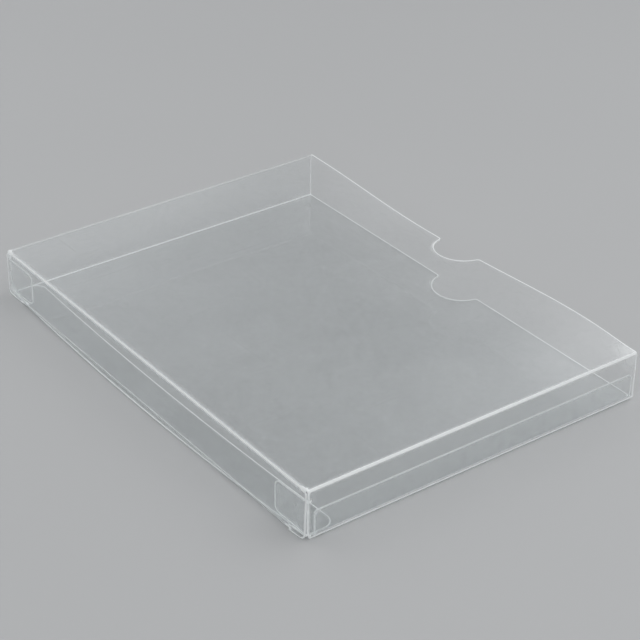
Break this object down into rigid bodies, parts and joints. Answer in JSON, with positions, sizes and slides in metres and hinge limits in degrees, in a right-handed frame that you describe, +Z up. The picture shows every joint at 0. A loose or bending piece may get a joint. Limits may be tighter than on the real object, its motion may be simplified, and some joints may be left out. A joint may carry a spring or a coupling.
{
  "type": "game box protector",
  "caption": "Clear folded film sleeve that a game case slides into, closed at one end by a hinged tuck flap and open at the other, with thumb notches.",
  "frame": {"origin": "centre of the part's box at the underside, where the bottom panel lies on its surface", "axes": "+X along the closed end towards the glued side wall, +Y towards the open end with the thumb notches, +Z up through the top panel"},
  "size_m": [0.192, 0.1445, 0.0203],
  "materials": {
    "clear_film": "clear gloss"
  },
  "bodies": {
    "sleeve": {"sleeve": "clear_film"},
    "end_flap": {"end_flap": "clear_film", "tuck_flap": "clear_film"}
  },
  "joints": [
    {"name": "end_flap_hinge", "type": "hinge", "parent": "sleeve", "child": "end_flap", "pos_m": [0, -0.0704, 0.0189], "axis": [-1, 0, 0], "range_deg": [0, 180], "deforming": ["tuck_flap"]}
  ]
}
